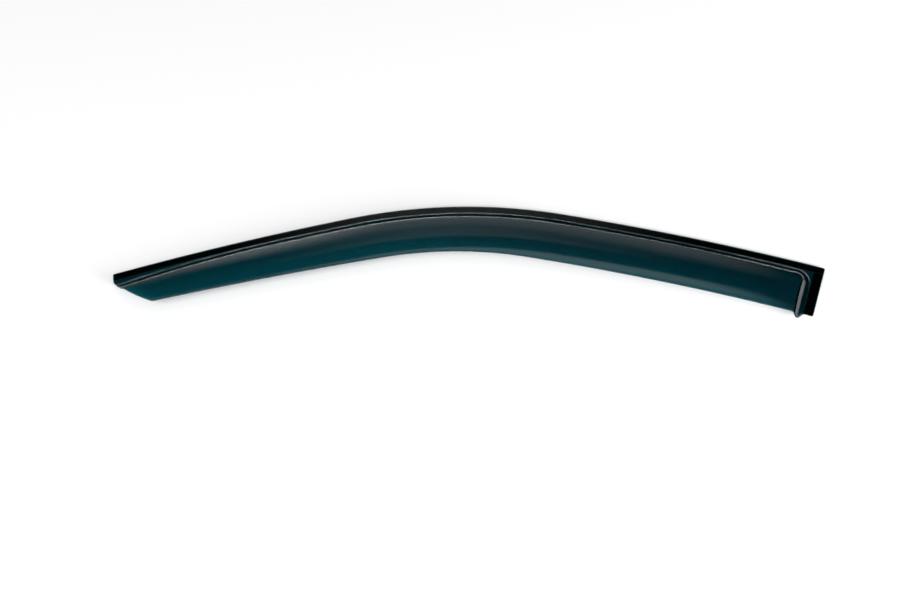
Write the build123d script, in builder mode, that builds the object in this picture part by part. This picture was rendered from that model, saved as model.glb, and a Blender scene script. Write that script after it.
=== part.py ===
from build123d import *
import os
from math import atan2, cos, degrees, radians, sin, sqrt, tan

# Stick-on window rain deflector for a front door, lying on its adhesive faces.
# Millimetres and degrees. X runs along the door from the front tip to the rear end,
# Y points up the door and Z points away from it. The origin is on the adhesive face,
# in the middle of the tape's width, under the highest point of the arched top edge.

# Smoked acrylic sheet
sheet_thickness = 3.0

# Double-sided foam tape
tape_thickness = 1.0
tape_width = 7.0
end_tape_width = 12.0
tape_inset = 0.6
tape_gap = 1.0

# Arched top edge: a crown arc with a flatter arc on each side, measured from its apex
crown_radius = 736.0
crown_front_angle = 12.3
crown_rear_angle = 10.0
front_radius = 4200.0
front_length = 330.0
rear_radius = 3750.0
rear_length = 362.0

# Flange: narrowest at the crown, wider towards the front tip and the rear end
flange_width = 10.0
front_flare = 7.0
front_flare_length = 220.0
rear_flare = 1.0
end_flange_width = 14.5
end_flange_length = 72.0
end_rake = 3.0

# Step wall and ridge
wall_slope = 53.0
ridge_height = 15.5
front_droop = 1.0
ridge_radius = 4.0
foot_radius = 2.0
step_corner_radius = 20.5

# Bowed visor panel
visor_width = 55.0
visor_rise = 0.65
visor_bow = 2.33

# Free edge: a crown arc with a flatter arc on each side, measured from its own apex
free_edge_depth = 72.6
free_apex_shift = -15.0
free_crown_radius = 562.0
free_crown_front_angle = 10.2
free_crown_rear_angle = 9.8
free_front_radius = 6100.0
free_rear_radius = 3750.0

# Slanted front tip
tip_flange_length = 12.5
tip_flange_rake = 8.0
tip_cut_angle = 57.0
tip_cut_radius = 165.0

# Tab where the rear wall runs past the flange's end
tab_start = 33.0
tab_blend_radius = 20.0
tab_blend_angle = 25.0
tab_length = 11.0
tab_side_run = 6.0
notch_width = 12.5

# Rounded corners of the outline
rear_corner_radius = 2.5
front_corner_radius = 1.5
tip_shoulder_radius = 4.0
tip_low_corner_radius = 6.0
flange_end_radius = 1.5
notch_radius = 2.0
tab_tip_radius = 2.5

# Stock that the trimming removes: past each end, under the free edge, above the panel,
# to each side of the panel's bow and in the plane of the flange
overrun = 60.0
stock_depth = 112.0
stock_height = 24.0
bow_reach = 72.0
plate_size = 2200.0

# Stretches between the stations that the bowed panel follows, and the tilt that tells a wall from a face
guide_steps = 12
tilt_limit = 0.5

# Levels
flange_underside = tape_thickness
flange_top = tape_thickness + sheet_thickness
ridge_depth = flange_width + ridge_height / tan(radians(wall_slope))
step_reach = stock_height / tan(radians(wall_slope))

# The apex of the top edge and the frames of its two ends
apex = Vector(0, tape_inset + tape_width / 2)


def arch_ends(inset=0.0):
    """Front end and heading of the arch that lies `inset` inside the top edge."""
    start = apex - Vector(0, inset)
    crown = JernArc(start, (-1, 0), crown_radius - inset, crown_front_angle)
    side = JernArc(crown @ 1, crown % 1, front_radius - inset, degrees(front_length / front_radius))
    return side @ 1, side % 1 * -1


def arch(inset=0.0, past=0.0):
    """Arch parallel to the top edge, drawn from the front end and lengthened `past` both ends."""
    start, heading = arch_ends(inset)
    lead = Line(start - heading * past, start) if past else None
    side = JernArc(start, heading, front_radius - inset, -degrees(front_length / front_radius))
    crown = JernArc(side @ 1, side % 1, crown_radius - inset, -crown_front_angle - crown_rear_angle)
    rear = JernArc(crown @ 1, crown % 1, rear_radius - inset, -degrees(rear_length / rear_radius))
    tail = Line(rear @ 1, rear @ 1 + rear % 1 * past) if past else None
    return (lead or side) @ 0, (tail or rear) @ 1


front_point, front_heading = arch_ends()
rear_turn = crown_rear_angle + degrees(rear_length / rear_radius)
crown_rear = JernArc(apex, (1, 0), crown_radius, -crown_rear_angle)
rear_side = JernArc(crown_rear @ 1, crown_rear % 1, rear_radius, crown_rear_angle - rear_turn)
rear_end = Plane(origin=rear_side @ 1, x_dir=Vector(1, 0).rotate(Axis.Z, -rear_turn - end_rake))
end_down = rear_end.y_dir * -1
end_inward = rear_end.x_dir * -1


def foot_arch(inset):
    """Line of the step wall's foot: parallel to the crown, flaring from the top edge at both ends."""
    depth = flange_width + inset
    tip_foot_radius = 1 / (1 / (front_radius - flange_width) + 2 * front_flare / front_flare_length**2)
    rear_foot_radius = 1 / (1 / (rear_radius - flange_width) + 2 * rear_flare / rear_length**2)
    plain_angle = degrees((front_length - front_flare_length) / front_radius)
    flare_angle = degrees(front_flare_length / tip_foot_radius)
    rear_angle = degrees(rear_length / rear_foot_radius)
    start = apex - Vector(0, depth)
    crown_front = JernArc(start, (-1, 0), crown_radius - depth, crown_front_angle)
    plain = JernArc(crown_front @ 1, crown_front % 1, front_radius - depth, plain_angle)
    flare = JernArc(plain @ 1, plain % 1, tip_foot_radius - inset, flare_angle)
    lead = Line(flare @ 1, flare @ 1 + flare % 1 * overrun)
    crown_back = JernArc(start, (1, 0), crown_radius - depth, -crown_rear_angle)
    rear = JernArc(crown_back @ 1, crown_back % 1, rear_foot_radius - inset, -rear_angle)
    tail = Line(rear @ 1, rear @ 1 + rear % 1 * overrun)
    return lead @ 1, tail @ 1


with BuildLine() as foot_line:
    foot_arch(0.0)
end_foot = rear_end.origin + end_inward * end_flange_width
with BuildLine() as end_foot_line:
    Line(end_foot, end_foot + end_down * end_flange_length)
step_lines = (foot_line.wire(), end_foot_line.wire())


def step_outline(inset):
    """Outline of the raised part at the level of its foot, `inset` inside the outer face's foot."""
    with BuildSketch() as outline:
        with BuildLine():
            foot_front, foot_rear = foot_arch(inset)
            stock_front, stock_rear = arch(stock_depth, overrun)
            Line(foot_front, stock_front)
            Line(foot_rear, stock_rear)
        make_face()
        with Locations(rear_end):
            with Locations((-end_flange_width - inset, 0)):
                Rectangle(plate_size, plate_size, align=(Align.MAX, Align.CENTER), mode=Mode.INTERSECT)
        corner = outline.vertices().sort_by_distance(rear_end.origin)[0]
        fillet(corner, radius=step_corner_radius - inset)
    return outline.sketch


def near_step(shape):
    """True for a wall or an edge that follows the step along the arch or down the rear end."""
    middle = shape.center()
    plan_point = Vertex(middle.X, middle.Y, 0)
    return min(line.distance_to(plan_point) for line in step_lines) < step_reach


def above_visor(gauge):
    """Space above the bowed panel face that lies `gauge` under the outer one."""
    bow_radius = (visor_width**2 + visor_rise**2) / (8 * visor_bow) + visor_bow / 2
    chord_angle = atan2(visor_rise, visor_width)
    to_centre = bow_radius - visor_bow
    centre_depth = ridge_depth + visor_width / 2 + to_centre * sin(chord_angle)
    centre_level = flange_top + ridge_height + visor_rise / 2 - to_centre * cos(chord_angle)
    face_radius = bow_radius - gauge
    side_level = centre_level + sqrt(face_radius**2 - bow_reach**2)
    ceiling = flange_top + 2 * stock_height
    with BuildLine() as guide:
        arch(0, overrun)
    stations = [guide.wire() @ (step / guide_steps) for step in range(guide_steps + 1)]
    stations.sort(key=lambda station: station.X)
    inward = front_heading.rotate(Axis.Z, -90)
    with BuildPart() as space:
        with BuildLine() as path:
            Spline(*stations, tangents=(front_heading, rear_side % 1))
        section = Plane(origin=stations[0], x_dir=inward, z_dir=front_heading * -1)
        with BuildSketch(section):
            with BuildLine():
                near = (centre_depth - bow_reach, side_level)
                far = (centre_depth + bow_reach, side_level)
                ThreePointArc(near, (centre_depth, centre_level + face_radius), far)
                Polyline(far, (far[0], ceiling), (near[0], ceiling), near)
            make_face()
        sweep(path=path.edge())
    droop_angle = degrees(atan2(front_droop, (rear_end.origin - front_point).X))
    droop_axis = Axis(rear_end.origin + Vector(0, 0, flange_top), (0, 1, 0))
    return space.part.rotate(droop_axis, -droop_angle)


def stepped_form(level, gauge, edge_radius):
    """Raised form with drafted walls and the bowed top, `gauge` inside the sheet's outer face."""
    inset = gauge / sin(radians(wall_slope)) - (flange_top - level) / tan(radians(wall_slope))
    foot = step_outline(inset)
    with BuildPart() as form:
        with BuildSketch(Plane.XY.offset(level)):
            add(foot)
        extrude(amount=stock_height)
        upright = form.faces().filter_by(lambda face: abs(face.normal_at().Z) < tilt_limit)
        walls = upright.filter_by(near_step)
        draft(walls, neutral_plane=Plane.XY.offset(level), angle=90 - wall_slope)
        add(above_visor(gauge), mode=Mode.SUBTRACT)
        visor_face = form.faces().filter_by(GeomType.BSPLINE).sort_by(SortBy.AREA)[-1]
        rim = visor_face.edges().filter_by(near_step)
        fillet(rim, radius=edge_radius)
    return form.part


def free_edge():
    """Free lower edge, drawn from past the front tip to past the tab on the rear wall."""
    start = apex + Vector(free_apex_shift, -free_edge_depth)
    crown_front = JernArc(start, (-1, 0), free_crown_radius, free_crown_front_angle)
    front_angle = degrees((front_length + overrun) / free_front_radius)
    front = JernArc(crown_front @ 1, crown_front % 1, free_front_radius, front_angle)
    crown_back = JernArc(start, (1, 0), free_crown_radius, -free_crown_rear_angle)
    tab_limit = Axis(rear_end.origin + end_inward * tab_start, end_down)
    rear = JernArc(crown_back @ 1, crown_back % 1, free_rear_radius, tab_limit)
    blend = JernArc(rear @ 1, rear % 1, tab_blend_radius, -tab_blend_angle)
    tail = Line(blend @ 1, blend @ 1 + blend % 1 * overrun)
    return front @ 1, tail @ 1


def outline():
    """Outline of the trimmed sheet: arched top edge, raked ends, tab and free lower edge."""
    tip_down = front_heading.rotate(Axis.Z, -90 - tip_flange_rake)
    shoulder = front_point + tip_down * tip_flange_length
    tip_heading = front_heading.rotate(Axis.Z, -tip_cut_angle)
    notch_corner = rear_end.origin + end_down * end_flange_length + end_inward * notch_width
    tab_tip = notch_corner + end_down * tab_length + end_inward * tab_side_run
    with BuildSketch() as sheet:
        with BuildLine():
            top_front, top_rear = arch(0, overrun)
            low_front, low_rear = free_edge()
            Line(top_front, low_front)
            Line(top_rear, low_rear)
        make_face()
        with BuildLine():
            tip_side = Line(front_point - tip_down * overrun, shoulder)
            tip_cut = JernArc(shoulder, tip_heading, tip_cut_radius, tip_cut_angle / 2)
            far_low = rear_end.origin + Vector(overrun, -front_length)
            far_high = rear_end.origin + Vector(overrun, front_length)
            Polyline(tip_cut @ 1, tip_cut @ 1 + tip_cut % 1 * overrun, far_low, far_high, tip_side @ 0)
        make_face(mode=Mode.INTERSECT)
        with Locations(rear_end):
            Rectangle(plate_size, plate_size, align=(Align.MAX, Align.CENTER), mode=Mode.INTERSECT)
        with BuildLine():
            past_end = end_inward * -overrun
            below = (tab_tip - notch_corner) * (overrun / tab_length)
            end_level = rear_end.origin + end_down * end_flange_length + past_end
            Polyline(notch_corner, notch_corner + below, end_level + below, end_level, notch_corner)
        make_face(mode=Mode.SUBTRACT)
        rounded = (
            (front_point, front_corner_radius),
            (shoulder, tip_shoulder_radius),
            (tip_cut @ 1, tip_low_corner_radius),
            (tab_tip, tab_tip_radius),
            (notch_corner, notch_radius),
            (rear_end.origin + end_down * end_flange_length, flange_end_radius),
            (rear_end.origin, rear_corner_radius),
        )
        for place, radius in rounded:
            fillet(sheet.vertices().sort_by_distance(place)[0], radius=radius)
    return sheet.sketch


def flange_band(depth):
    """Strip of the flange between the arched top edge and the arch that lies `depth` inside it."""
    with BuildSketch() as band:
        with BuildLine():
            near_front, near_rear = arch(0, overrun)
            far_front, far_rear = arch(depth, overrun)
            Line(near_front, far_front)
            Line(near_rear, far_rear)
        make_face()
    return band.sketch


sheet_outline = outline()
taped_outline = offset(sheet_outline, amount=-tape_inset, kind=Kind.INTERSECTION)
outer_form = stepped_form(flange_top, 0, ridge_radius)
inner_form = stepped_form(flange_underside, sheet_thickness, ridge_radius - sheet_thickness)

# Thermoformed sheet: flat flange, drafted step, rounded ridge and bowed visor of one thickness,
# trimmed square to the flange all round
with BuildPart() as deflector_shell:
    with BuildSketch(Plane.XY.offset(flange_underside)):
        Rectangle(plate_size, plate_size)
    extrude(amount=sheet_thickness)
    add(outer_form)
    flange_face = deflector_shell.faces().filter_by_position(Axis.Z, flange_top, flange_top)[0]
    outer_foot = flange_face.inner_wires()[0].edges().filter_by(near_step)
    fillet(outer_foot, radius=foot_radius)
    add(inner_form, mode=Mode.SUBTRACT)
    underside = deflector_shell.faces().sort_by(Axis.Z)[0]
    hollow_foot = underside.inner_wires()[0].edges().filter_by(near_step)
    fillet(hollow_foot, radius=foot_radius + sheet_thickness)
    with BuildSketch():
        add(sheet_outline)
    extrude(amount=2 * stock_height, mode=Mode.INTERSECT)

# Foam tape along the arched flange, cut square at both ends
with BuildPart() as top_tape:
    with BuildSketch():
        add(flange_band(tape_inset + tape_width))
        add(taped_outline, mode=Mode.INTERSECT)
    extrude(amount=tape_thickness)

# Foam tape down the rear flange, butted under the top strip
with BuildPart() as end_tape:
    with BuildSketch():
        with Locations(rear_end):
            Rectangle(tape_inset + end_tape_width, end_flange_length, align=(Align.MAX, Align.MAX))
        add(taped_outline, mode=Mode.INTERSECT)
        add(flange_band(tape_inset + tape_width + tape_gap), mode=Mode.SUBTRACT)
    extrude(amount=tape_thickness)

deflector_shell.part.label = "deflector_shell"
top_tape.part.label = "top_tape"
end_tape.part.label = "end_tape"

os.makedirs("parts", exist_ok=True)
export_step(deflector_shell.part, "parts/deflector_shell.step")
export_step(top_tape.part, "parts/top_tape.step")
export_step(end_tape.part, "parts/end_tape.step")
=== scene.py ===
import bpy
import numpy as np
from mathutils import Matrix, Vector


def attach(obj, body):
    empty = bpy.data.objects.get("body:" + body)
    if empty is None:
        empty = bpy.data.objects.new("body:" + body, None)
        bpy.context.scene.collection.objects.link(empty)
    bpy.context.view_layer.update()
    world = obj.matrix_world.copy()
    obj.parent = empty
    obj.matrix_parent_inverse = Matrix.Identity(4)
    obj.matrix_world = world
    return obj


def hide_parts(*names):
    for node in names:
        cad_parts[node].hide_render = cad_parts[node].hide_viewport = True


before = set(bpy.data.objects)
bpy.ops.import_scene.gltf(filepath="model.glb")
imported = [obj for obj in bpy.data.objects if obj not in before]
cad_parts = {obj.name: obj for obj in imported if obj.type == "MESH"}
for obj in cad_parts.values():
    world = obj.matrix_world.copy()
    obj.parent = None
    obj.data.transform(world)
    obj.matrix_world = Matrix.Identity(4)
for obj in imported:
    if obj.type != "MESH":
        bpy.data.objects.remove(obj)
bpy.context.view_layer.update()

# Smoked acrylic sheet. The deflector is one sheet of smoked teal acrylic, 3 mm thick, heated and
# drawn over a form that gives the flat flange, the step, the ridge and the bowed visor. It is then
# trimmed to its outline, and the cut edge is flame polished, which rounds its corners.
# Lengths are in millimetres and angles in radians. A point of the plan is the complex number
# x + iy, a station is a distance along the arched top edge from its apex, and a depth is a
# distance inward from that edge.
MM = 0.001
THICKNESS = 3.0
RIM_RADIUS = 0.35
FLANGE_TOP = 4.0
RIM_ANGLES = np.radians([30, 60, 90])

APEX = 4.1j
CROWN_RADIUS, FRONT_RADIUS, REAR_RADIUS = 736.0, 4200.0, 3750.0
CROWN_FRONT, CROWN_REAR = np.radians([12.3, 10.0])
FRONT_LENGTH, REAR_LENGTH = 330.0, 362.0
FRONT_TURN = CROWN_FRONT + FRONT_LENGTH / FRONT_RADIUS
REAR_TURN = CROWN_REAR + REAR_LENGTH / REAR_RADIUS
FRONT_STATION = -CROWN_RADIUS * CROWN_FRONT - FRONT_LENGTH
REAR_STATION = CROWN_RADIUS * CROWN_REAR + REAR_LENGTH


def arch_point(station, depth):
    """Point of the plan at a station and a depth: the centre of the arc that the station is on,
    plus that arc's radius less the depth, at the angle the arch has turned through so far."""
    past_front = np.minimum(station + CROWN_RADIUS * CROWN_FRONT, 0)
    past_rear = np.maximum(station - CROWN_RADIUS * CROWN_REAR, 0)
    on_crown = station - past_front - past_rear
    turn = on_crown / CROWN_RADIUS + past_front / FRONT_RADIUS + past_rear / REAR_RADIUS
    centre = APEX - 1j * CROWN_RADIUS
    front_centre = centre + 1j * np.exp(1j * CROWN_FRONT) * (CROWN_RADIUS - FRONT_RADIUS)
    rear_centre = centre + 1j * np.exp(-1j * CROWN_REAR) * (CROWN_RADIUS - REAR_RADIUS)
    where = [past_front < 0, past_rear > 0]
    centre = np.select(where, [front_centre, rear_centre], centre)
    radius = np.select(where, [FRONT_RADIUS, REAR_RADIUS], CROWN_RADIUS)
    return centre + 1j * np.exp(-1j * turn) * (radius - depth)


PLACE_ROUNDS = 12


def arch_place(points):
    """Station and depth of points of the plan: from a first guess, the remaining miss is resolved
    along the arch and across it, and both are corrected until it is gone."""
    station, depth = points.real.copy(), np.zeros(len(points))
    for _ in range(PLACE_ROUNDS):
        miss = points - arch_point(station, depth)
        along = arch_point(station + 0.5, depth) - arch_point(station - 0.5, depth)
        inward = arch_point(station, depth + 1) - arch_point(station, depth)
        station = station + (miss / along).real
        depth = depth + (miss / inward).real
    return station, depth


FRONT_END = arch_point(np.array(FRONT_STATION), 0)
REAR_END = arch_point(np.array(REAR_STATION), 0)
END_RAKE = np.radians(3.0)
END_FLANGE_LENGTH = 72.0
END_INWARD = -np.exp(-1j * (REAR_TURN + END_RAKE))
END_DOWN = 1j * END_INWARD

FREE_APEX = APEX - 15.0 - 72.6j
FREE_CROWN_RADIUS, FREE_FRONT_RADIUS, FREE_REAR_RADIUS = 562.0, 6100.0, 3750.0
FREE_CROWN_FRONT, FREE_CROWN_REAR = np.radians([10.2, 9.8])

TIP_FLANGE_LENGTH = 12.5
TIP_FLANGE_RAKE, TIP_CUT_ANGLE = np.radians([8.0, 57.0])
TIP_CUT_RADIUS = 165.0
TIP_CUT_LENGTH = 80.0

TAB_START = 33.0
TAB_BLEND_RADIUS = 20.0
TAB_BLEND_ANGLE = np.radians(25.0)
TAB_SIDE = END_DOWN * 11.0 + END_INWARD * 6.0
NOTCH_WIDTH = 12.5

FRONT_CORNER, SHOULDER, LOW_CORNER = 1.5, 4.0, 6.0
TAB_TIP, NOTCH, FLANGE_END, REAR_CORNER = 2.5, 2.0, 1.5, 2.5

LEAST_POINTS, TOP_POINTS = 3, 900
HALF_BEND = 8
CORNER_MARGIN, CUT_CLEAR = 1.01, 1.0


def line(start, end):
    """Points about a millimetre apart on a straight line."""
    return np.linspace(start, end, int(abs(end - start)) + LEAST_POINTS)


def arc(start, heading, length, radius):
    """Points about a millimetre apart on an arc that turns left where its radius is positive,
    and its last heading: the heading, turned by length over radius, summed along the arc."""
    run = np.linspace(0, length, int(length) + LEAST_POINTS)
    turned = np.exp(1j * run / radius)
    return start + heading * radius * (turned - 1) / 1j, heading * turned[-1]


def joined(first, second, radius):
    """Two lines that meet in a corner, with an arc between them that touches both: each is cut
    back by the radius times the tangent of half the turn, and takes its half of the arc."""
    corner = second[0]
    before = (first[-1] - first[-2]) / abs(first[-1] - first[-2])
    after = (second[1] - second[0]) / abs(second[1] - second[0])
    turn = np.angle(after / before)
    cut_back = radius * np.tan(abs(turn) / 2)
    swing = np.linspace(0, turn, 2 * HALF_BEND + 1)
    chord = before * np.sign(turn) * radius * (np.exp(1j * swing) - 1) / 1j
    bend = corner - before * cut_back + chord
    kept_first = first[abs(first - corner) > cut_back * CORNER_MARGIN]
    kept_second = second[abs(second - corner) > cut_back * CORNER_MARGIN]
    first_half = np.concatenate([kept_first, bend[: HALF_BEND + 1]])
    return first_half, np.concatenate([bend[HALF_BEND:], kept_second])


def sheet_sides():
    """The outline of the trimmed sheet as four sides, from rounded corner to rounded corner: the
    arched top edge, the front tip, the free edge with the tab at its end, and the rear end."""
    top = arch_point(np.linspace(REAR_STATION, FRONT_STATION, TOP_POINTS), 0)

    heading = np.exp(1j * FRONT_TURN)
    shoulder = FRONT_END - 1j * heading * np.exp(-1j * TIP_FLANGE_RAKE) * TIP_FLANGE_LENGTH
    cut, _ = arc(shoulder, heading * np.exp(-1j * TIP_CUT_ANGLE), TIP_CUT_LENGTH, TIP_CUT_RADIUS)

    front_run, rear_run = FREE_CROWN_RADIUS * FREE_CROWN_FRONT, FREE_CROWN_RADIUS * FREE_CROWN_REAR
    crown_front, heading = arc(FREE_APEX, -1, front_run, FREE_CROWN_RADIUS)
    free_front, _ = arc(crown_front[-1], heading, FRONT_LENGTH, FREE_FRONT_RADIUS)
    crown_rear, heading = arc(FREE_APEX, 1, rear_run, -FREE_CROWN_RADIUS)
    free_rear, _ = arc(crown_rear[-1], heading, REAR_LENGTH, -FREE_REAR_RADIUS)
    free_rear = free_rear[((free_rear - REAR_END) / END_INWARD).real > TAB_START]
    heading = np.exp(1j * np.angle(free_rear[-1] - free_rear[-2]))
    blend_run = TAB_BLEND_RADIUS * TAB_BLEND_ANGLE
    blend, heading = arc(free_rear[-1], heading, blend_run, -TAB_BLEND_RADIUS)
    front_part = [free_front[::-1], crown_front[-2::-1]]
    free = np.concatenate(front_part + [crown_rear[1:], free_rear[1:], blend[1:]])

    end_low = REAR_END + END_DOWN * END_FLANGE_LENGTH
    notch = end_low + END_INWARD * NOTCH_WIDTH
    reach = ((notch - blend[-1]) / TAB_SIDE).imag / (heading / TAB_SIDE).imag
    tab_tip = blend[-1] + heading * reach

    cut_station, cut_depth = arch_place(cut)
    cut = cut[cut_depth < np.interp(cut_station, *arch_place(free))]
    free = np.concatenate([cut[-1:], free[free.real > cut[-1].real + CUT_CLEAR], [tab_tip]])

    top, tip = joined(top, line(FRONT_END, shoulder), FRONT_CORNER)
    tip = np.concatenate(joined(tip, cut, SHOULDER))
    tip, free = joined(tip, free, LOW_CORNER)
    free = np.concatenate(joined(free, line(tab_tip, notch), TAB_TIP))
    free = np.concatenate(joined(free, line(notch, end_low), NOTCH))
    free, end = joined(free, line(end_low, REAR_END), FLANGE_END)
    end, top = joined(end, top, REAR_CORNER)
    return top, tip, free, end


def inset_places(side):
    """Stations and depths of a side moved inward by the radius of the rounded cut edge, along
    the normal on the left of its own direction."""
    ahead = np.gradient(side)
    return arch_place(side + 1j * ahead / abs(ahead) * RIM_RADIUS)


FLANGE_WIDTH = 10.0
FRONT_FLARE, FRONT_FLARE_LENGTH = 7.0, 220.0
REAR_FLARE = 1.0
END_FLANGE_WIDTH = 14.5
WALL_SLOPE = np.radians(53.0)
RIDGE_HEIGHT, FRONT_DROOP = 15.5, 1.0
RIDGE_RADIUS, FOOT_RADIUS, STEP_CORNER_RADIUS = 4.0, 2.0, 20.5
VISOR_WIDTH, VISOR_RISE, VISOR_BOW = 55.0, 0.65, 2.33

BOW_RADIUS = (VISOR_WIDTH**2 + VISOR_RISE**2) / (8 * VISOR_BOW) + VISOR_BOW / 2
RIDGE_DEPTH = FLANGE_WIDTH + RIDGE_HEIGHT / np.tan(WALL_SLOPE)
CHORD_TILT = np.arctan2(VISOR_RISE, VISOR_WIDTH)
BOW_DEPTH = RIDGE_DEPTH + VISOR_WIDTH / 2 + (BOW_RADIUS - VISOR_BOW) * np.sin(CHORD_TILT)
BOW_LEVEL = FLANGE_TOP + RIDGE_HEIGHT + VISOR_RISE / 2 - (BOW_RADIUS - VISOR_BOW) * np.cos(CHORD_TILT)
FOOT_START = -FOOT_RADIUS * np.tan(WALL_SLOPE / 2)
FOOT_END = FOOT_START + FOOT_RADIUS * np.sin(WALL_SLOPE)
CORNER_ZONE = STEP_CORNER_RADIUS + 0.5
BOW_LIMIT = 0.7
LEAST_DISTANCE = 1e-9


def foot_depth(station):
    """Width of the flange: a constant one, plus a square-law flare towards the front tip and a
    slighter one towards the rear end."""
    front = np.maximum(FRONT_STATION + FRONT_FLARE_LENGTH - station, 0) / FRONT_FLARE_LENGTH
    rear = np.maximum(station - REAR_STATION + REAR_LENGTH, 0) / REAR_LENGTH
    return FLANGE_WIDTH + FRONT_FLARE * front**2 + REAR_FLARE * rear**2


def droop(x):
    """How far the panel has sunk at x: nothing at the rear end, the whole droop at the tip."""
    return FRONT_DROOP * (REAR_END.real - x) / (REAR_END - FRONT_END).real


def outer_level(points, station, depth):
    """Height of the sheet's outer face. The step's distance is the smaller of those from its
    foot along the arch and down the rear end, with a round corner between them. Over it the
    face runs from the flange through an arc into the drafted wall, and through a rolled arc,
    which touches the wall and the bowed visor, into the visor."""
    arch_run = depth - foot_depth(station)
    end_run = ((points - REAR_END) / END_INWARD).real - END_FLANGE_WIDTH
    to_arch = STEP_CORNER_RADIUS - arch_run
    to_end = STEP_CORNER_RADIUS - end_run
    in_corner = (to_arch > 0) & (to_end > 0)
    to_centre = np.hypot(to_arch, to_end)
    run = np.where(in_corner, STEP_CORNER_RADIUS - to_centre, np.minimum(arch_run, end_run))
    share = to_arch / np.maximum(to_centre, LEAST_DISTANCE)
    across = np.where(in_corner, share, arch_run < end_run)

    across_bow = np.clip((BOW_DEPTH - depth) / BOW_RADIUS, -BOW_LIMIT, BOW_LIMIT)
    visor = BOW_LEVEL + BOW_RADIUS * np.sqrt(1 - across_bow**2) - droop(points.real)
    visor_slope = across_bow / np.sqrt(1 - across_bow**2)
    wall = FLANGE_TOP + run * np.tan(WALL_SLOPE)

    visor_cos = 1 / np.hypot(1, visor_slope)
    wall_cos = np.cos(WALL_SLOPE)
    between = (np.sin(WALL_SLOPE) * visor_slope * across + wall_cos) * visor_cos
    wall_gap = RIDGE_RADIUS - wall * wall_cos
    visor_gap = RIDGE_RADIUS - visor * visor_cos
    square = wall_cos**2 + visor_cos**2 - 2 * wall_cos * visor_cos * between
    crossed = (wall_gap * visor_cos + visor_gap * wall_cos) * between
    half = wall_gap * wall_cos + visor_gap * visor_cos - crossed
    gaps = wall_gap**2 + visor_gap**2 - 2 * wall_gap * visor_gap * between
    rest = gaps - RIDGE_RADIUS**2 * (1 - between**2)
    ridge = (np.sqrt(np.maximum(half**2 - square * rest, 0)) - half) / square
    from_wall, from_visor = wall_gap + wall_cos * ridge, visor_gap + visor_cos * ridge
    on_ridge = (from_wall > from_visor * between) & (from_visor > from_wall * between)

    in_foot = np.clip((run - FOOT_START) / FOOT_RADIUS, 0, np.sin(WALL_SLOPE))
    foot = FLANGE_TOP + FOOT_RADIUS * (1 - np.sqrt(1 - in_foot**2))
    low = np.where(run < FOOT_END, foot, wall)
    return np.where(on_ridge & (run > FOOT_END), ridge, np.minimum(low, visor))


FLANGE_ROWS, FOOT_ROWS, WALL_ROWS, RIDGE_ROWS, CORNER_ROWS, VISOR_ROWS = 8, 8, 7, 12, 14, 24
COLUMN_STEP = 5.5
TIP_COLUMNS, TIP_ZONE = 36, 60.0
TIP_BLEND, END_BLEND = 210.0, 90.0
BEFORE_END_RIDGE, AFTER_END_RIDGE = 1.6, 3.2
END_VISOR, END_ZONE = 60.0, 100.0
END_COLUMNS = [16, 8, 12, 14, 16, 22, 18]
GRID_ROUNDS = 14


def stepped(edges, counts):
    """Places along a line that is divided at its edges, with a count of equal steps in each."""
    runs = [np.linspace(a, b, n, endpoint=False) for a, b, n in zip(edges, edges[1:], counts)]
    return np.concatenate(runs + [edges[-1:]])


def falling(distance, reach):
    """One at no distance and nothing from the reach on, with a level start and end."""
    share = np.clip(1 - distance / reach, 0, 1)
    return share**2 * (3 - 2 * share)


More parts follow.
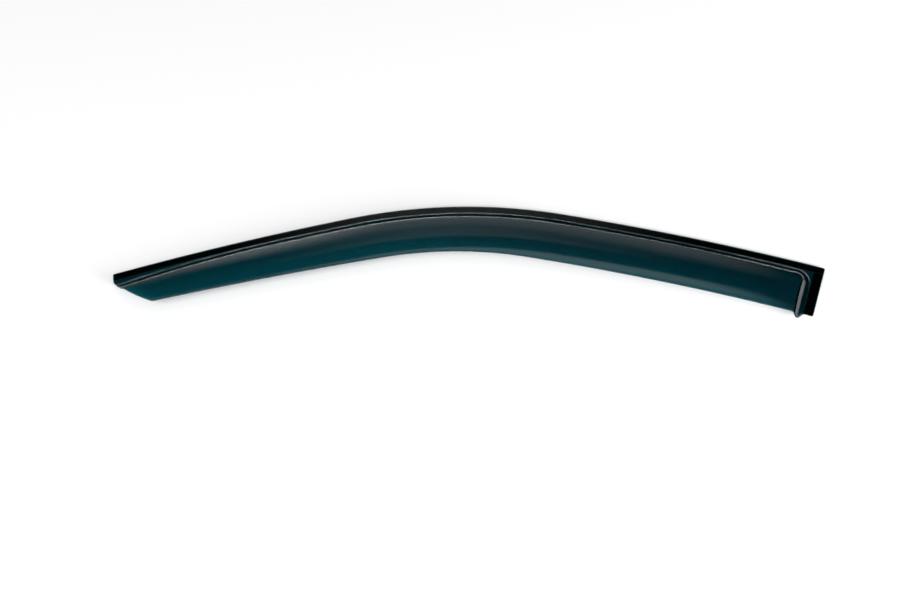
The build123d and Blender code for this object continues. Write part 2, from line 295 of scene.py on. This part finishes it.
def sheet_grid():
    """Places on the outer face, as an array of columns across the arch and rows along it. A row
    lies at a share of one of six bands of depth, and a column at a station that is shifted with
    the depth near both ends, so that the outer rows and columns lie on the outline."""
    top, tip, free, end = [inset_places(side) for side in sheet_sides()]
    top_station, top_depth = top[0][::-1], top[1][::-1]
    front, rear = top_station[0], top_station[-1]
    bow_slope = (BOW_DEPTH - RIDGE_DEPTH) / np.sqrt(BOW_RADIUS**2 - (BOW_DEPTH - RIDGE_DEPTH) ** 2)
    wall_slope = np.tan(WALL_SLOPE)

    def ridge_run(foot, station):
        """Run from the foot to where the wall meets the visor: the height between them at the
        foot, over the difference of their slopes."""
        sunk = RIDGE_HEIGHT - droop(arch_point(station, 0).real)
        return (sunk + bow_slope * (foot - RIDGE_DEPTH)) / (wall_slope - bow_slope)

    half_bend = (WALL_SLOPE - np.arctan(bow_slope)) / 2
    before_ridge = RIDGE_RADIUS * np.tan(half_bend) * np.cos(WALL_SLOPE)
    after_ridge = RIDGE_RADIUS * np.tan(half_bend) * np.cos(np.arctan(bow_slope))

    end_ridge = END_FLANGE_WIDTH + RIDGE_HEIGHT / wall_slope
    from_end = stepped(
        [0.0, END_FLANGE_WIDTH + FOOT_START, END_FLANGE_WIDTH + FOOT_END]
        + [end_ridge - BEFORE_END_RIDGE, end_ridge + AFTER_END_RIDGE]
        + [END_FLANGE_WIDTH + CORNER_ZONE, END_VISOR, END_ZONE],
        END_COLUMNS,
    )
    from_tip = stepped([0.0, TIP_ZONE], [TIP_COLUMNS])
    count = int((rear - front - TIP_ZONE - END_ZONE) / COLUMN_STEP)
    middle = np.linspace(front + TIP_ZONE, rear - END_ZONE, count)
    columns = np.concatenate([front + from_tip[:-1], middle, rear - from_end[-2::-1]])[:, None]

    counts = [FLANGE_ROWS, FOOT_ROWS, WALL_ROWS, RIDGE_ROWS, CORNER_ROWS, VISOR_ROWS]
    share = stepped(np.arange(len(counts) + 1.0), counts)[None, :]
    band = np.minimum(share.astype(int), len(counts) - 1)
    share = share - band

    station = columns + 0 * share
    for _ in range(GRID_ROUNDS):
        foot = foot_depth(station)
        ridge = foot + ridge_run(foot, station)
        edges = [
            np.interp(station, top_station, top_depth),
            foot + FOOT_START,
            foot + FOOT_END,
            ridge - before_ridge,
            ridge + after_ridge,
            foot + CORNER_ZONE,
            np.interp(station, *free),
        ]
        depth = (1 - share) * np.choose(band, edges) + share * np.choose(band + 1, edges)
        tip_shift = np.interp(depth, tip[1], tip[0]) - front
        end_shift = np.interp(depth, end[1][::-1], end[0][::-1]) - rear
        station = columns + tip_shift * falling(columns - front, TIP_BLEND)
        station = station + end_shift * falling(rear - columns, END_BLEND)
    return station, depth


def bend_sheet():
    """The closed sheet: the outer face, the inner face one thickness under it along the face's
    own normals, and between them an edge that is rounded at both corners."""
    station, depth = sheet_grid()
    plan = arch_point(station, depth)
    outer = np.stack([plan.real, plan.imag, outer_level(plan, station, depth)], axis=-1)
    normal = np.cross(np.gradient(outer, axis=1), np.gradient(outer, axis=0))
    normal /= np.linalg.norm(normal, axis=-1, keepdims=True)
    inner = outer - THICKNESS * normal

    columns, rows = station.shape
    at = np.arange(columns * rows).reshape(columns, rows)
    rim = np.concatenate([at[:-1, 0], at[-1, :-1], at[:0:-1, -1], at[0, :0:-1]])
    edge, up = outer.reshape(-1, 3)[rim], normal.reshape(-1, 3)[rim]
    outward = np.cross(up, np.roll(edge, -1, axis=0) - np.roll(edge, 1, axis=0))
    outward /= np.linalg.norm(outward, axis=-1, keepdims=True)
    out = RIM_RADIUS * np.sin(np.concatenate([RIM_ANGLES, RIM_ANGLES[::-1]]))
    down = RIM_RADIUS * (1 - np.cos(RIM_ANGLES))
    down = np.concatenate([down, THICKNESS - down[::-1]])
    bead = edge + out[:, None, None] * outward - down[:, None, None] * up

    count = columns * rows
    rings = 2 * count + np.arange(bead.shape[0] * len(rim)).reshape(-1, len(rim))
    rings = np.concatenate([rim[None], rings, rim[None] + count])
    after = np.roll(rings, -1, axis=1)
    face = np.stack([at[:-1, :-1], at[:-1, 1:], at[1:, 1:], at[1:, :-1]], axis=-1).reshape(-1, 4)
    sides = np.stack([rings[:-1], after[:-1], after[1:], rings[1:]], axis=-1).reshape(-1, 4)
    points = np.concatenate([outer.reshape(-1, 3), inner.reshape(-1, 3), bead.reshape(-1, 3)])
    return points, np.concatenate([face, face[:, ::-1] + count, sides])


def piece(name, points, faces, material):
    """A smooth-shaded object at the origin, from points in millimetres and four-sided faces."""
    mesh = bpy.data.meshes.new(name)
    mesh.from_pydata((points * MM).tolist(), [], faces.tolist())
    mesh.shade_smooth()
    mesh.materials.append(material)
    made = bpy.data.objects.new(name, mesh)
    bpy.context.scene.collection.objects.link(made)
    return made


def colour(code, alpha=1.0):
    """Linear colour of an sRGB hex code: the low end is a straight line, the rest a power."""
    value = np.array([int(code[at : at + 2], 16) for at in (1, 3, 5)]) / 255
    value = np.where(value <= 0.04045, value / 12.92, ((value + 0.055) / 1.055) ** 2.4)
    return (*value.tolist(), alpha)


def add_node(tree, kind, settings=(), links=()):
    """Adds a node to the tree, sets its properties or inputs, and joins outputs to its inputs."""
    made = tree.nodes.new(kind)
    for name, value in dict(settings).items():
        if isinstance(name, int) or name in made.inputs:
            made.inputs[name].default_value = value
        else:
            setattr(made, name, value)
    for name, source in dict(links).items():
        tree.links.new(source, made.inputs[name])
    return made


def new_material(name):
    """An empty node material and its output node."""
    made = bpy.data.materials.new(name)
    made.use_nodes = True
    made.node_tree.nodes.clear()
    return made, made.node_tree, made.node_tree.nodes.new("ShaderNodeOutputMaterial")


# Cast acrylic, smoked and tinted teal in the mass, so that 3 mm let through about a tenth of the
# green, a seventh of the blue and hardly any red. The face is as glossy as the cast sheet, and
# the forming leaves a slow waviness, 40 mm from wave to wave, that only shows in reflections.
ACRYLIC_TINT = "#00D0D6"
ACRYLIC_DENSITY = 2030.0
WAVE_PER_M = 1 / 0.040
HAZE_PER_M = 1 / 0.012
WAVE_HEIGHT = 0.0002

acrylic, tree, output = new_material("smoked_acrylic")
place = add_node(tree, "ShaderNodeTexCoord").outputs["Object"]
waves = add_node(tree, "ShaderNodeTexNoise", {"Scale": WAVE_PER_M, "Detail": 1.0}, {"Vector": place})
haze = add_node(tree, "ShaderNodeTexNoise", {"Scale": HAZE_PER_M, "Detail": 3.0}, {"Vector": place})
gloss = add_node(
    tree,
    "ShaderNodeMapRange",
    {"From Min": 0.3, "From Max": 0.7, "To Min": 0.02, "To Max": 0.045},
    {"Value": haze.outputs["Fac"]},
)
bump = add_node(
    tree, "ShaderNodeBump", {"Strength": 0.04, "Distance": WAVE_HEIGHT}, {"Height": waves.outputs["Fac"]}
)
shader = add_node(
    tree,
    "ShaderNodeBsdfPrincipled",
    {"Base Color": colour("#FFFFFF"), "IOR": 1.49, "Transmission Weight": 1.0},
    {"Roughness": gloss.outputs["Result"], "Normal": bump.outputs["Normal"]},
)
smoke = add_node(
    tree,
    "ShaderNodeVolumeAbsorption",
    {"Color": colour(ACRYLIC_TINT), "Density": ACRYLIC_DENSITY},
)
tree.links.new(shader.outputs["BSDF"], output.inputs["Surface"])
tree.links.new(smoke.outputs["Volume"], output.inputs["Volume"])

deflector = piece("deflector_sheet", *bend_sheet(), acrylic)
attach(deflector, "root")
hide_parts("deflector_shell")

# Foam tapes. Two strips of black double-sided polyethylene foam, die cut with square ends and
# pressed on the back of the flange: one along the arch and one down the rear end.
CELLS_PER_M = 1 / 0.0006
PIT_DEPTH = 0.0001
foam, tree, output = new_material("black_polyethylene_foam")
place = add_node(tree, "ShaderNodeTexCoord").outputs["Object"]
cells = add_node(tree, "ShaderNodeTexVoronoi", {"Scale": CELLS_PER_M}, {"Vector": place})
shade = add_node(
    tree,
    "ShaderNodeMix",
    {"data_type": "RGBA", 6: colour("#101113"), 7: colour("#1D1E21")},
    {0: cells.outputs["Distance"]},
)
pits = add_node(
    tree, "ShaderNodeBump", {"Strength": 0.5, "Distance": PIT_DEPTH}, {"Height": cells.outputs["Distance"]}
)
shader = add_node(
    tree,
    "ShaderNodeBsdfPrincipled",
    {"Roughness": 0.85, "IOR": 1.5},
    {"Base Color": shade.outputs[2], "Normal": pits.outputs["Normal"]},
)
tree.links.new(shader.outputs["BSDF"], output.inputs["Surface"])
for strip in ("top_tape", "end_tape"):
    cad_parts[strip].data.materials.clear()
    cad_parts[strip].data.materials.append(foam)

# Studio. A white painted table, lit by three softboxes: one in front, one at the left, and a low
# one at the right front. Its paint has a fine grain. The table is a little brighter to the eye, to
# mirrors and through the sheet than the light makes it, so that the ground is white with no more
# light on the object.
TABLE_SIZE, TABLE_DROP = 3.2, 0.02
TABLE_GLOW = 0.07
GRAIN_PER_M = 300.0
white, tree, output = new_material("white_table")
place = add_node(tree, "ShaderNodeTexCoord").outputs["Object"]
grain = add_node(tree, "ShaderNodeTexNoise", {"Scale": GRAIN_PER_M}, {"Vector": place})
paint = add_node(
    tree,
    "ShaderNodeMix",
    {"data_type": "RGBA", 6: colour("#FCFCFC"), 7: colour("#FFFFFF")},
    {0: grain.outputs["Fac"]},
)
shader = add_node(
    tree,
    "ShaderNodeBsdfPrincipled",
    {"Roughness": 1.0, "Specular IOR Level": 0.0},
    {"Base Color": paint.outputs[2]},
)
rays = add_node(tree, "ShaderNodeLightPath").outputs
seen = rays["Is Camera Ray"]
for ray in ("Is Glossy Ray", "Is Transmission Ray"):
    either = {0: seen, 1: rays[ray]}
    seen = add_node(tree, "ShaderNodeMath", {"operation": "MAXIMUM"}, either).outputs[0]
shine = add_node(tree, "ShaderNodeMath", {"operation": "MULTIPLY", 1: TABLE_GLOW}, {0: seen})
glow = add_node(
    tree, "ShaderNodeEmission", {"Color": colour("#FFFFFF")}, {"Strength": shine.outputs[0]}
)
both = add_node(
    tree, "ShaderNodeAddShader", {}, {0: shader.outputs["BSDF"], 1: glow.outputs["Emission"]}
)
tree.links.new(both.outputs["Shader"], output.inputs["Surface"])
half = TABLE_SIZE / 2 / MM
corners = np.array([(-half, -half, 0), (half, -half, 0), (half, half, 0), (-half, half, 0)])
table = piece("table", corners - (0, 0, TABLE_DROP), np.array([[0, 1, 2, 3]]), white)

# The room. To the camera it is white and to the light on the object an even level. Mirrors, and rays
# through the sheet, see a picture by direction: side is how far to the right a ray goes for its rise,
# and back how far to the front or the back. A dark ceiling, which the flange mirrors, turns into the
# bright wall that the grey upper half of the visor mirrors. The wall starts further back at the far
# left and right. In the ceiling lie a narrow strip by the free edge and a haze in the middle. Behind
# a dark gap, which makes the step's wall black, lies the bright horizon that the fillets mirror. It
# is brighter at the right, and a window stands at the left.
ROOM_LIGHT = 0.42
WALL_LEVEL, CEILING_LEVEL = 2.5, 0.015
WALL_LOW, WALL_HIGH, LEFT_BEND = 0.51, 1.4, 1.6
RIGHT_START, RIGHT_BEND = 0.27, 16.0
HORIZON_LEVEL, HORIZON_BACK = 1.5, (1.2, 1.4)
BRIGHTER_SIDE, BRIGHTER_BY = (0.34, 0.42), 2.8
WINDOW_LEVEL, WINDOW_SIDE, WINDOW_BACK = 1.5, (-0.28, -0.1), (0.6, 0.95)
STRIP_LEVEL, STRIP_MIDDLE, STRIP_HALF, STRIP_BLUR = 1.1, 0.14, 0.035, 0.05
STRIP_SIDE = (0.13, 0.21)
HAZE_LEVEL, HAZE_WIDTH, HAZE_BACK, HAZE_FRONT_SHARE = 0.42, 0.24, (0.4, 0.447), 0.1
GAP_START, GAP_END = (0.99, 1.04), (1.28, 1.45)
LEAST_RISE, LEAST_HEIGHT = 0.001, 0.1
world = bpy.data.worlds.new("studio")
bpy.context.scene.world = world
world.use_nodes = True
tree = world.node_tree
tree.nodes.clear()
output = tree.nodes.new("ShaderNodeOutputWorld")
direction = add_node(tree, "ShaderNodeTexCoord").outputs["Generated"]
axes = add_node(tree, "ShaderNodeSeparateXYZ", {}, {"Vector": direction}).outputs
rays = add_node(tree, "ShaderNodeLightPath").outputs

# Each row is a name, what is done, and numbers or names of what was made before it. A ramp, linear
# or smooth, runs from its fourth number to its fifth while its value goes from the second to the
# third.
rows = [
    ("up", "MAXIMUM", "Z", LEAST_RISE),
    ("side", "DIVIDE", "X", "up"),
    ("front or back", "DIVIDE", "Y", "up"),
    ("back", "ABSOLUTE", "front or back"),
    ("left", "MINIMUM", "side", 0.0),
    ("left squared", "MULTIPLY", "left", "left"),
    ("left bend", "MULTIPLY", "left squared", LEFT_BEND),
    ("past start", "SUBTRACT", "side", RIGHT_START),
    ("right", "MAXIMUM", "past start", 0.0),
    ("right squared", "MULTIPLY", "right", "right"),
    ("right bend", "MULTIPLY", "right squared", RIGHT_BEND),
    ("both bends", "ADD", "left bend", "right bend"),
    ("wall low", "ADD", "both bends", WALL_LOW),
    ("above low", "SUBTRACT", "back", "wall low"),
    ("high above low", "SUBTRACT", WALL_HIGH, "wall low"),
    ("wall height", "MAXIMUM", "high above low", LEAST_HEIGHT),
    ("into wall", "DIVIDE", "above low", "wall height"),
    ("wall", "LINEAR", "into wall", 0.0, 1.0, CEILING_LEVEL, WALL_LEVEL),
    ("from bend", "SUBTRACT", "back", "left bend"),
    ("from middle", "SUBTRACT", "from bend", STRIP_MIDDLE),
    ("from strip", "ABSOLUTE", "from middle"),
    ("long strip", "SMOOTHSTEP", "from strip", STRIP_HALF, STRIP_HALF + STRIP_BLUR, STRIP_LEVEL, 0.0),
    ("strip side", "SMOOTHSTEP", "side", *STRIP_SIDE, 1.0, 0.0),
    ("strip", "MULTIPLY", "long strip", "strip side"),
    ("from centre", "ABSOLUTE", "side"),
    ("wide haze", "SMOOTHSTEP", "from centre", 0.0, HAZE_WIDTH, HAZE_LEVEL, 0.0),
    ("haze back", "SMOOTHSTEP", "back", *HAZE_BACK, HAZE_FRONT_SHARE, 1.0),
    ("haze", "MULTIPLY", "wide haze", "haze back"),
    ("wall and strip", "MAXIMUM", "wall", "strip"),
    ("room", "MAXIMUM", "wall and strip", "haze"),
    ("even horizon", "SMOOTHSTEP", "back", *HORIZON_BACK, 0.0, HORIZON_LEVEL),
    ("far back", "MAXIMUM", "back", LEAST_RISE),
    ("turned", "DIVIDE", "side", "far back"),
    ("brighter", "SMOOTHSTEP", "turned", *BRIGHTER_SIDE, 1.0, BRIGHTER_BY),
    ("horizon", "MULTIPLY", "even horizon", "brighter"),
    ("window side", "SMOOTHSTEP", "side", *WINDOW_SIDE, WINDOW_LEVEL, 0.0),
    ("window back", "SMOOTHSTEP", "back", *WINDOW_BACK, 0.0, 1.0),
    ("window", "MULTIPLY", "window side", "window back"),
    ("beyond", "ADD", "horizon", "window"),
    ("all lights", "ADD", "room", "beyond"),
    ("before gap", "SMOOTHSTEP", "back", *GAP_START, 1.0, 0.0),
    ("after gap", "SMOOTHSTEP", "back", *GAP_END, 0.0, 1.0),
    ("open", "MAXIMUM", "before gap", "after gap"),
    ("picture", "MULTIPLY", "all lights", "open"),
    ("mirrored", "MAXIMUM", "Is Glossy Ray", "Is Transmission Ray"),
    ("seen in mirrors", "MULTIPLY", "mirrored", "picture"),
    ("other rays", "SUBTRACT", 1.0, "mirrored"),
    ("light", "MULTIPLY", "other rays", ROOM_LIGHT),
    ("level", "ADD", "seen in mirrors", "light"),
    ("shown", "MAXIMUM", "level", "Is Camera Ray"),
]
RAMP_INPUTS = ("Value", "From Min", "From Max", "To Min", "To Max")
made = {axis: axes[axis] for axis in "XYZ"}
made |= {ray: rays[ray] for ray in ("Is Camera Ray", "Is Glossy Ray", "Is Transmission Ray")}
for name, action, *values in rows:
    ramp = action in ("LINEAR", "SMOOTHSTEP")
    kind = "ShaderNodeMapRange" if ramp else "ShaderNodeMath"
    inputs = dict(zip(RAMP_INPUTS if ramp else (0, 1), values))
    settings = {at: value for at, value in inputs.items() if not isinstance(value, str)}
    settings["interpolation_type" if ramp else "operation"] = action
    links = {at: made[value] for at, value in inputs.items() if isinstance(value, str)}
    made[name] = add_node(tree, kind, settings, links).outputs[0]
sky = add_node(tree, "ShaderNodeBackground", {"Color": colour("#FFFFFF")}, {"Strength": made["shown"]})
tree.links.new(sky.outputs["Background"], output.inputs["Surface"])


def softbox(name, place, target, size, radiance):
    """A square lamp that faces a point and shines with an even brightness: its power is that
    brightness times its area times pi."""
    data = bpy.data.lights.new(name, "AREA")
    data.size = size
    data.energy = radiance * size**2 * np.pi
    made = bpy.data.objects.new(name, data)
    made.location = place
    made.rotation_euler = (Vector(place) - Vector(target)).to_track_quat("Z", "Y").to_euler()
    bpy.context.scene.collection.objects.link(made)


softbox("front_softbox", (-0.2, -1.5, 2.7), (0.0, 0.0, 0.0), 1.6, 1.0)
softbox("left_softbox", (-1.5, -0.9, 2.4), (0.0, 0.0, 0.0), 1.4, 5.2)
softbox("low_softbox", (1.7, -1.2, 0.55), (-0.2, 0.0, 0.0), 1.0, 15.0)

# Camera, above and in front of the free edge, looking down.
CAMERA_PITCH = 70
camera_data = bpy.data.cameras.new("camera")
camera_data.sensor_width = 36.0
camera_data.lens = 50.0
camera = bpy.data.objects.new("camera", camera_data)
camera.location = (-0.0103, -0.7225, 1.60024)
camera.rotation_euler = (np.radians(90 - CAMERA_PITCH), 0, 0)
bpy.context.scene.collection.objects.link(camera)
bpy.context.scene.camera = camera
bpy.context.scene.view_settings.view_transform = "Standard"
